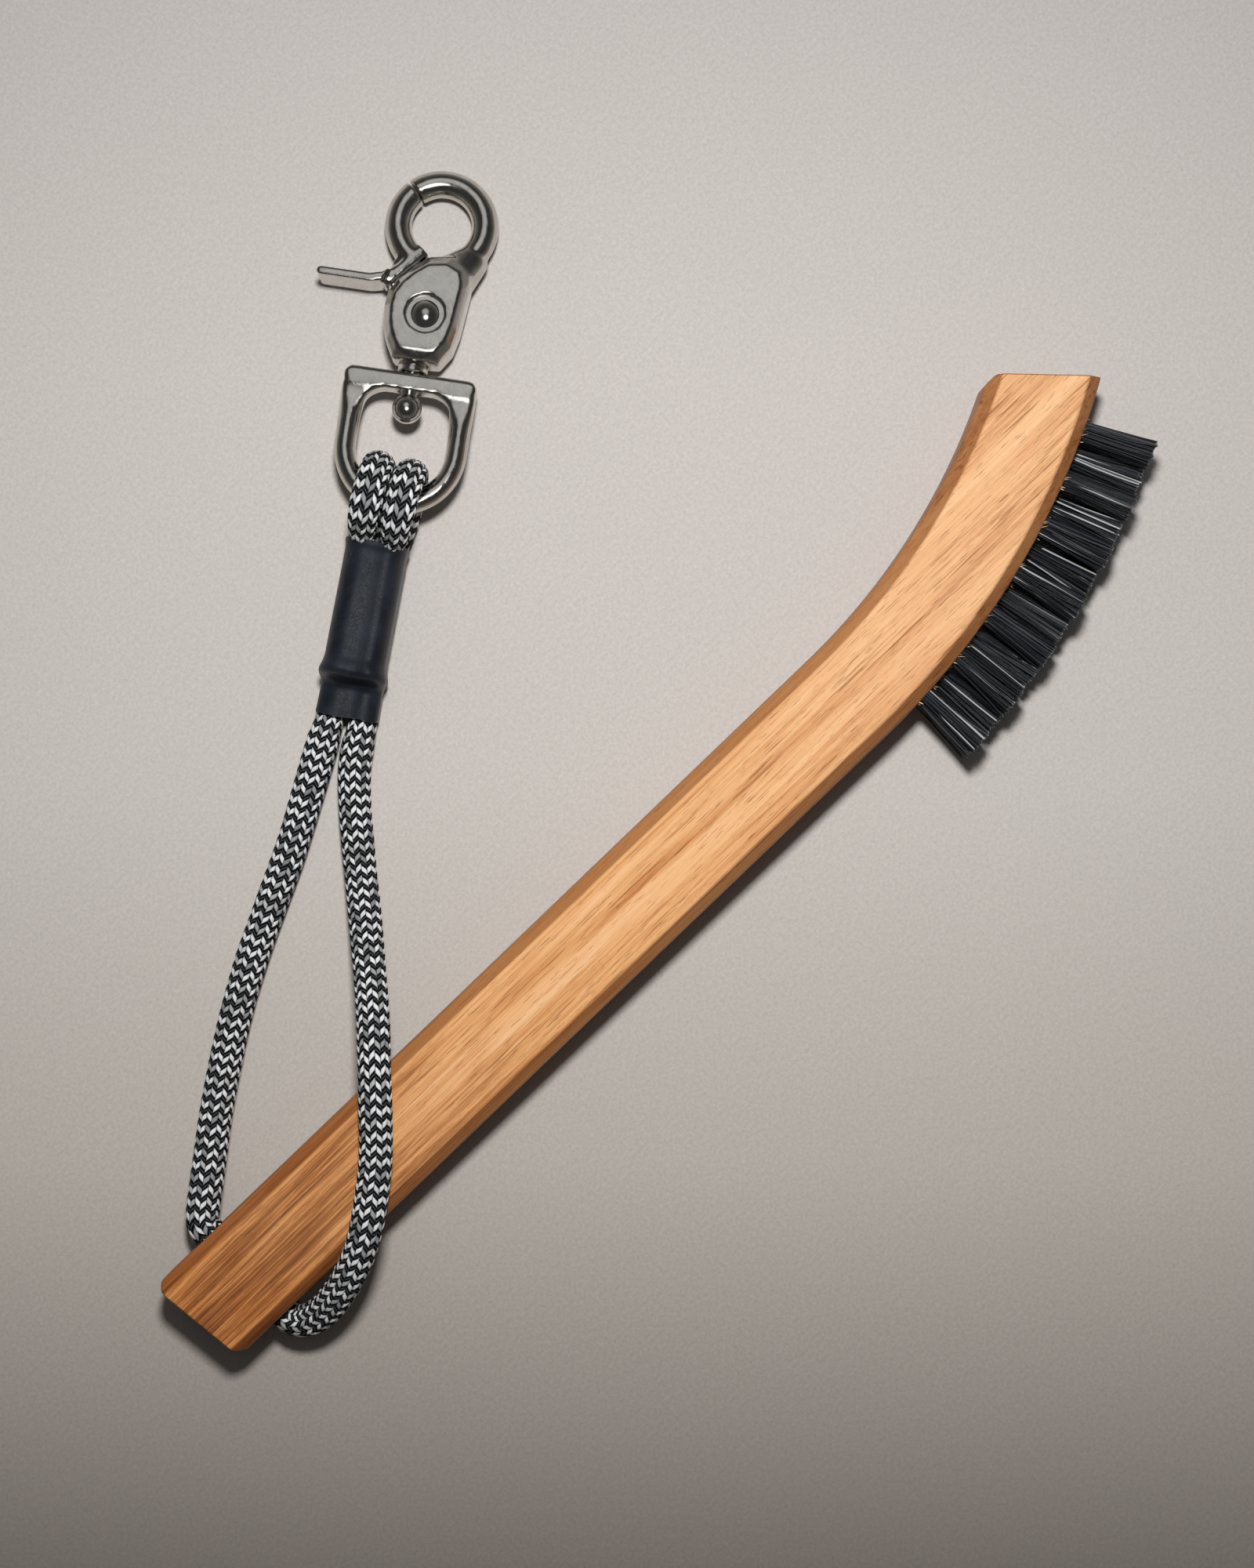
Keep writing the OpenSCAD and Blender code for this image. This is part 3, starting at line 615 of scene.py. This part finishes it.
wood, tree, shader = shade("oiled_hardwood", Specular_IOR_Level=0.38)
texture_place = tree.nodes.new("ShaderNodeTexCoord")
where = texture_place.outputs["Object"]
axes = tree.nodes.new("ShaderNodeSeparateXYZ")
tree.links.new(where, axes.inputs[0])
facing = tree.nodes.new("ShaderNodeSeparateXYZ")
tree.links.new(texture_place.outputs["Normal"], facing.inputs[0])
fibres = noise(tree, where, (45, 2300, 1700), detail=5, roughness=0.75)
streaks = noise(tree, where, (16, 520, 420), detail=6, roughness=0.68, distortion=0.2)
bands = noise(tree, where, (6, 110, 100), detail=3, roughness=0.5, distortion=0.5)
pores = noise(tree, where, (230, 5200, 4200), detail=2, roughness=0.6)
dashes = noise(tree, where, (75, 2100, 1700), detail=2, roughness=0.5, shift=(3.1, 7.7, 1.3))
cloud = noise(tree, where, (45, 70, 60), detail=3)
grain = calc(tree, "ADD", calc(tree, "MULTIPLY", fibres, 0.34), calc(
    tree, "ADD", calc(tree, "MULTIPLY", streaks, 0.36), calc(tree, "MULTIPLY", bands, 0.30)))
light_wood = ramp(tree, grain, (0.37, (0.38, 0.13, 0.036)), (0.45, (0.64, 0.29, 0.105)),
                  (0.52, (0.79, 0.43, 0.195)), (0.62, (0.88, 0.55, 0.31)))
dark_wood_and_shade = ramp(tree, grain, (0.41, (0.12, 0.032, 0.008)), (0.48, (0.36, 0.12, 0.030)),
                 (0.53, (0.62, 0.25, 0.070)), (0.64, (0.76, 0.36, 0.13)))
# Toward the butt the colour turns to the darker ramp: partly the wood's own darker tone and partly painted
# shade for the light falling off toward the near edge.
to_butt = remap(tree, calc(tree, "ADD", axes.outputs[0], calc(tree, "MULTIPLY", calc(
    tree, "SUBTRACT", cloud, 0.5), 0.09)), 0.066, -0.006, 0.0, 0.95)
wood_colour = mix(tree, to_butt, light_wood, dark_wood_and_shade)
to_head = remap(tree, axes.outputs[0], 0.10, 0.17, 0.0, 0.22)
wood_colour = mix(tree, to_head, wood_colour, (0.86, 0.60, 0.40, 1))
dash_mark = calc(tree, "MULTIPLY", remap(tree, dashes, 0.60, 0.66, 0.0, 1.0),
                 remap(tree, bands, 0.54, 0.42, 0.0, 0.62))
wood_colour = mix(tree, dash_mark, wood_colour, (0.27, 0.085, 0.022, 1))
# Painted shade: the chamfers and side faces, which turn away from straight up, are darkened to a deeper brown
# by how far they turn.
flank_shade = remap(tree, calc(tree, "ABSOLUTE", facing.outputs[2]), 0.97, 0.72, 0.0, 0.85)
wood_colour = mix(tree, flank_shade, wood_colour, mix(
    tree, 1.0, wood_colour, (0.42, 0.27, 0.14, 1), "MULTIPLY"))
pore_mark = remap(tree, pores, 0.62, 0.69, 0.0, 0.6)
wood_colour = mix(tree, pore_mark, wood_colour, (0.22, 0.075, 0.02, 1))
tree.links.new(wood_colour, shader.inputs["Base Color"])
tree.links.new(remap(tree, fibres, 0.3, 0.7, 0.40, 0.58), shader.inputs["Roughness"])
bump(tree, shader, calc(tree, "SUBTRACT", calc(tree, "MULTIPLY", fibres, 0.5), calc(
    tree, "MAXIMUM", pore_mark, dash_mark)), 0.07 * MM, 0.7)
handle.data.materials.append(wood)
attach(handle, "handle")
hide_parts("handle")


# ---- tufts ----
# Twenty tufts of black nylon filament about 0.3 mm thick. Each is a bundle folded in two, stapled into
# its hole with a flat wire anchor and trimmed square, so it stands 13 mm out of the wood and flares.
BRISTLE, FILAMENT_D, FILAMENTS = 13 * MM, 0.31 * MM, 118
ROOT_R, FLARE, BURIED = 1.86 * MM, 0.4375, 5.8 * MM
STRAY_SHARE, GOLDEN_ANGLE = 0.05, 2.39996
deselect()
bpy.ops.mesh.primitive_cone_add(vertices=6, radius1=FILAMENT_D / 2, radius2=FILAMENT_D / 2 * 0.92, depth=1,
                                location=(0, 0, 0.5))
filament = bpy.context.object
settle(filament)
for z in (0.32, 0.55, 0.78, 0.982):
    cut(filament, (0, 0, z), (0, 0, 1))
shape = np.array([v.co for v in filament.data.vertices])
shape_faces = [list(f.vertices) for f in filament.data.polygons]
bpy.data.objects.remove(filament)

nylon, tree, shader = shade("black_nylon", Roughness=0.3, Specular_IOR_Level=0.6)
tone = tree.nodes.new("ShaderNodeAttribute")
tone.attribute_name = "tone"
# The ramp's dark end is each filament's own tone; its pale top is a painted highlight, given to a few whole
# filaments and to the cut tips.
tree.links.new(ramp(tree, tone.outputs["Fac"], (0.0, (0.006, 0.007, 0.009)), (0.7, (0.022, 0.024, 0.030)),
                    (0.85, (0.07, 0.075, 0.085)), (1.0, (0.42, 0.43, 0.44))), shader.inputs["Base Color"])
scuff = noise(tree, object_place(tree), (2500, 2500, 2500), detail=3)
tree.links.new(remap(tree, scuff, 0.3, 0.7, 0.22, 0.42), shader.inputs["Roughness"])
bump(tree, shader, scuff, 0.02 * MM, 0.4)
rng = random.Random(20)
for name, place in tuft_places:
    points, faces, tones_and_highlights = [], [], []
    lean = Vector((rng.gauss(0, 0.25), rng.gauss(0, 0.2), 0)) * MM
    for n in range(FILAMENTS):
        root_r = math.sqrt((n + 0.5) / FILAMENTS) * ROOT_R
        root_a = n * GOLDEN_ANGLE + rng.uniform(-0.2, 0.2)
        root = Vector((root_r * math.cos(root_a), root_r * math.sin(root_a), 0))
        stray = rng.random() < STRAY_SHARE
        drift = Vector((rng.gauss(0, 1), rng.gauss(0, 1), 0)) * (0.55 if stray else 0.22) * MM
        flare = root * FLARE + lean + drift
        bow = Vector((rng.gauss(0, 1), rng.gauss(0, 1), 0)) * 0.12 * MM
        tall = BRISTLE + rng.uniform(-0.35, 0.1) * MM - (rng.uniform(0, 1.2) * MM if stray else 0)
        base = len(points)
        for x, y, z in shape:
            height = -BURIED + z * (tall + BURIED)
            part = max(height, 0) / BRISTLE
            at = root + flare * part**1.3 + bow * math.sin(math.pi * min(part, 1))
            points.append(place @ Vector((x + at.x, y + at.y, height)))
        faces += [[base + k for k in f] for f in shape_faces]
        # Each filament gets a random dark tone; about one in fourteen is painted pale grey from root to tip
        # as a painted highlight, and each cut tip is painted lighter as a painted highlight.
        shine = rng.random() ** 1.5 * 0.84 if rng.random() < 0.93 else 1.0
        tones_and_highlights += [0.93 if z > 0.99 else shine for z in shape[:, 2]]
    mesh = bpy.data.meshes.new(f"{name}_filaments")
    mesh.from_pydata(points, [], faces)
    mesh.attributes.new("tone", "FLOAT", "POINT").data.foreach_set("value", tones_and_highlights)
    mesh.shade_smooth()
    tuft = linked(f"{name}_filaments", mesh)
    smooth(tuft, 60)
    tuft.data.materials.append(nylon)
    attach(tuft, "handle")
    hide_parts(name)

# Crumbs of wood fibre that the drill and the anchor have lifted at the rims of the holes
raised, tree, shader = shade("raised_fibre", Roughness=0.75)
tree.links.new(ramp(tree, noise(tree, object_place(tree), (900, 900, 900)), (0.3, (0.50, 0.30, 0.14)),
                    (0.7, (0.82, 0.66, 0.45))), shader.inputs["Base Color"])
CRUMBS_PER_HOLE = 9
points, faces = [], []
for name, place in tuft_places:
    for k in range(CRUMBS_PER_HOLE):
        a = rng.uniform(0, 2 * math.pi)
        r = TUFT_HOLE_D / 2 + rng.uniform(-0.05, 0.25) * MM
        long, thick = rng.uniform(0.3, 0.8) * MM, rng.uniform(0.07, 0.16) * MM
        way = Vector((math.cos(a + rng.uniform(0.6, 2.4)), math.sin(a + rng.uniform(0.6, 2.4)),
                      rng.uniform(0.1, 0.9)))
        side = way.cross(Vector((0, 0, 1))).normalized() * thick
        foot = Vector((r * math.cos(a), r * math.sin(a), -0.15 * MM))
        up = side.cross(way).normalized() * thick * 0.6
        base = len(points)
        for share, width in ((0, 1.0), (0.5, 0.8), (1.0, 0.25)):
            bow_up = Vector((0, 0, 0.35 * MM * share * share))
            mid = foot + way * long * share + bow_up
            points += [place @ (mid - side * width), place @ (mid + side * width), place @ (mid + up * width)]
        for ring in (0, 3):
            for q in range(3):
                q1 = (q + 1) % 3
                faces.append([base + ring + q, base + ring + q1, base + ring + 3 + q1, base + ring + 3 + q])
        faces += [[base + 2, base + 1, base], [base + 6, base + 7, base + 8]]
mesh = bpy.data.meshes.new("hole_rim_fibres")
mesh.from_pydata(points, [], faces)
crumbs = linked("hole_rim_fibres", mesh)
open_all(crumbs)
bpy.ops.mesh.normals_make_consistent(inside=False)
bpy.ops.object.mode_set(mode="OBJECT")
crumbs.data.materials.append(raised)
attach(crumbs, "handle")

steel_wire, tree, shader = shade("anchor_steel", Metallic=1.0, Roughness=0.35)
tree.links.new(ramp(tree, noise(tree, object_place(tree), (900, 900, 900), detail=4),
                    (0.3, (0.35, 0.35, 0.34)), (0.7, (0.55, 0.55, 0.54))), shader.inputs["Base Color"])
refinish("tuft_anchors", steel_wire)


# ---- snap: bail, hook and gate ----
# Three zinc castings, tumbled and nickel plated: a D bail with a flat bar, a hook body that swivels on
# it, and a thumb gate that closes the hook's ring. Their edges are rounded by the tumbling.
# The snap's own frame has +Y along its stem and starts in the middle of the bail's bar
SNAP_X, SNAP_Y, SNAP_Z = 131.72 * MM, 95.03 * MM, 6.2126 * MM
SNAP_TURN, SNAP_TILT = math.radians(37.9 - 90), math.radians(5.5)
RIVET_X, RIVET_Y = 1 * MM, 11.8 * MM
RECESS_R, RECESS_DEPTH, RECESS_Z = 3.35 * MM, 3 * MM, 5.38 * MM
MERGE = 0.001 * MM
snap_place = (Matrix.Translation((SNAP_X, SNAP_Y, SNAP_Z)) @ Matrix.Rotation(SNAP_TURN, 4, "Z")
              @ Matrix.Rotation(-SNAP_TILT, 4, "X"))
nickel, tree, shader = shade("polished_nickel", Metallic=1.0)
where = object_place(tree)
peel = noise(tree, where, (420, 420, 420), detail=4, roughness=0.6)
scratch = noise(tree, where, (3200, 900, 2600), detail=3, roughness=0.7)
tree.links.new(ramp(tree, peel, (0.3, (0.53, 0.51, 0.47)), (0.7, (0.65, 0.63, 0.585))),
               shader.inputs["Base Color"])
tree.links.new(remap(tree, scratch, 0.35, 0.7, 0.09, 0.24), shader.inputs["Roughness"])
bump(tree, shader, calc(tree, "ADD", peel, calc(tree, "MULTIPLY", scratch, 0.16)), 0.07 * MM, 0.22)


def cast_from(node_name, grain, rounds):
    """A casting with the frame's shape: one skin, with its edges rounded as by tumbling."""
    cast = nodes[node_name].copy()
    cast.data = nodes[node_name].data.copy()
    cast.parent = None
    cast.name = f"{node_name}_casting"
    for key in list(cast.keys()):
        del cast[key]
    bpy.context.collection.objects.link(cast)
    open_all(cast)
    bpy.ops.mesh.remove_doubles(threshold=MERGE)
    bpy.ops.object.mode_set(mode="OBJECT")
    modify(cast, "REMESH", mode="VOXEL", voxel_size=grain, adaptivity=0)
    modify(cast, "SMOOTH", factor=0.5, iterations=rounds)
    cast.data.shade_smooth()
    cast.data.materials.clear()
    cast.data.materials.append(nickel)
    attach(cast, nodes[node_name]["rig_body"])
    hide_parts(node_name)
    return cast


bail = cast_from("bail", 0.22 * MM, 60)
hook = cast_from("hook_body", 0.2 * MM, 30)
gate = cast_from("trigger_gate", 0.18 * MM, 30)
for z in (-1, 1):
    deselect()
    bpy.ops.mesh.primitive_cylinder_add(vertices=64, radius=RECESS_R, depth=RECESS_DEPTH,
                                        location=(RIVET_X, RIVET_Y, z * RECESS_Z))
    drill = bpy.context.object
    settle(drill, snap_place)
    modify(hook, "BOOLEAN", operation="DIFFERENCE", object=drill, solver="EXACT")
    bpy.data.objects.remove(drill)
smooth(hook, 40)


# ---- swivel post and rivet ----
# Both are turned from steel and nickel plated. The post is pressed into the hook's body and its ball is
# peened under the bar; the rivet is the gate's pin, with a low domed head in a recess on each side.
def turned(name, profile, place, node_name):
    """Spins a profile of (radius, height) in millimetres round Z, from one end of the axis to the other."""
    mesh = bpy.data.meshes.new(name)
    mesh.from_pydata([(r * MM, 0, z * MM) for r, z in profile],
                     [(k, k + 1) for k in range(len(profile) - 1)], [])
    piece = linked(name, mesh)
    open_all(piece)
    bpy.ops.mesh.spin(steps=64, angle=2 * math.pi, center=(0, 0, 0), axis=(0, 0, 1))
    bpy.ops.mesh.select_all(action="SELECT")
    bpy.ops.mesh.remove_doubles(threshold=MERGE)
    bpy.ops.mesh.normals_make_consistent(inside=False)
    bpy.ops.object.mode_set(mode="OBJECT")
    settle(piece, place)
    smooth(piece, 40)
    piece.data.materials.append(nickel)
    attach(piece, nodes[node_name]["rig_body"])
    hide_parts(node_name)
    return piece


# The profiles are in millimetres: the post's ball, then its shank and collar from below the bar up
BALL_R, BALL_Z = 2.7, -4.9
SHANK_R, COLLAR_R = 1.5, 2.7
ball = [(BALL_R * math.sin(a), BALL_Z - BALL_R * math.cos(a))
        for a in np.linspace(0, math.radians(148), 22)]
shank = [(SHANK_R, -2.5), (SHANK_R, 1.6), (2.45, 1.6), (COLLAR_R, 1.8), (COLLAR_R, 3.1), (2.6, 3.28),
         (SHANK_R, 3.28), (SHANK_R, 6.6), (1.4, 6.7), (0, 6.7)]
post = turned("swivel_pin", ball + shank, snap_place @ Matrix.Rotation(math.radians(-90), 4, "X"),
              "swivel_post")
# One half of the rivet, from its domed head to the middle of its shank
HEAD_R, HEAD_Z, RISE, RIVET_R = 2.55, 3.9, 1.0, 1.25
dome_r = (HEAD_R**2 + RISE**2) / (2 * RISE)
dome = [(dome_r * math.sin(a), HEAD_Z + RISE - dome_r * (1 - math.cos(a)))
        for a in np.linspace(0, math.asin((HEAD_R - 0.06) / dome_r), 14)]
head = dome + [(HEAD_R, HEAD_Z + 0.02), (HEAD_R - 0.05, HEAD_Z), (RIVET_R, HEAD_Z)]
rivet = turned("rivet_pin", head + [(r, -z) for r, z in reversed(head)],
               snap_place @ Matrix.Translation((RIVET_X, RIVET_Y, 0)), "gate_rivet")

spring_steel, tree, shader = shade("spring_steel", Metallic=1.0, Roughness=0.3)
tree.links.new(ramp(tree, noise(tree, object_place(tree), (1500, 1500, 1500), detail=3),
                    (0.3, (0.20, 0.20, 0.21)), (0.7, (0.40, 0.40, 0.41))), shader.inputs["Base Color"])
refinish("gate_spring", spring_steel)


# ---- table and light ----
# A warm-grey card lies under everything; its colour carries a painted falloff of light, darker toward its
# near edge and a little toward its far edge. One small lamp hangs beyond the snap and casts the shadows, a
# dim room fills them, and a window overhead shows in the metal.
deselect()
bpy.ops.mesh.primitive_plane_add(size=3, location=(0.1, 0, -0.05 * MM))
card = bpy.context.object
card.name = "table_card"
settle(card)
card_paper, tree, shader = shade("card_paper", Roughness=0.9, Specular_IOR_Level=0.2)
where = object_place(tree)
flecks = noise(tree, where, (1500, 1500, 1500), detail=5, roughness=0.75)
cloudy = noise(tree, where, (60, 60, 60), detail=3)
paper = ramp(tree, flecks, (0.3, (0.515, 0.485, 0.46)), (0.7, (0.655, 0.62, 0.595)))
paper = mix(tree, remap(tree, cloudy, 0.3, 0.7, 0.0, 0.12), paper, (0.55, 0.52, 0.495, 1))
toward_top = tree.nodes.new("ShaderNodeVectorMath")
toward_top.operation = "DOT_PRODUCT"
tree.links.new(where, toward_top.inputs[0])
toward_top.inputs[1].default_value = up_picture
reach = remap(tree, toward_top.outputs["Value"], middle @ up_picture - 0.15, middle @ up_picture + 0.15)
# Painted falloff of light: the card's colour is darkened toward its near edge and a little toward its far
# edge.
painted_light_falloff = ramp(tree, reach, (0.0, (0.34, 0.32, 0.30)), (0.12, (0.56, 0.54, 0.52)), (0.27, (0.80, 0.79, 0.77)),
               (0.5, (0.92, 0.92, 0.92)), (0.75, (0.89, 0.89, 0.90)), (1.0, (0.78, 0.79, 0.80)))
tree.links.new(mix(tree, 1.0, paper, painted_light_falloff, "MULTIPLY"), shader.inputs["Base Color"])
bump(tree, shader, flecks, 0.03 * MM, 0.5)
card.data.materials.append(card_paper)

# The lamp lights everything but is never mirrored; the window is only mirrored, in whatever shines
bpy.ops.object.light_add(type="AREA", location=middle + up_picture * 0.13 + Vector((0, 0, 0.4)))
lamp = bpy.context.object
lamp.name = "lamp"
lamp.data.shape = "DISK"
lamp.data.size = 0.06
lamp.data.energy = 1.85
lamp.data.color = (1.0, 0.985, 0.96)
lamp.rotation_euler = (middle - lamp.location).to_track_quat("-Z", "Y").to_euler()
lamp.visible_glossy = False
bpy.ops.object.light_add(type="AREA", location=middle + up_picture * 0.02 + Vector((0, 0, 0.6)))
window = bpy.context.object
window.name = "window"
window.data.shape = "DISK"
window.data.size = 0.26
window.data.energy = 0.42
window.visible_diffuse = False
world = bpy.data.worlds.new("room")
bpy.context.scene.world = world
world.use_nodes = True
tree = world.node_tree
sky = tree.nodes.new("ShaderNodeTexCoord").outputs["Generated"]
heading = tree.nodes.new("ShaderNodeSeparateXYZ")
tree.links.new(sky, heading.inputs[0])
beyond = tree.nodes.new("ShaderNodeVectorMath")
beyond.operation = "DOT_PRODUCT"
tree.links.new(sky, beyond.inputs[0])
beyond.inputs[1].default_value = (up_picture * 0.45 + Vector((0, 0, 1))).normalized()
room = ramp(tree, heading.outputs[2], (0.0, (0.38, 0.36, 0.34)), (0.3, (0.15, 0.145, 0.14)),
            (0.6, (0.06, 0.06, 0.06)), (1.0, (0.05, 0.05, 0.05)))
glow = ramp(tree, beyond.outputs["Value"], (0.93, (0, 0, 0)), (0.97, (0.55, 0.55, 0.55)),
            (1.0, (0.8, 0.8, 0.8)))
tree.links.new(mix(tree, 1.0, room, glow, "ADD"), tree.nodes["Background"].inputs["Color"])
tree.nodes["Background"].inputs["Strength"].default_value = 0.75
bpy.context.scene.view_settings.view_transform = "Standard"
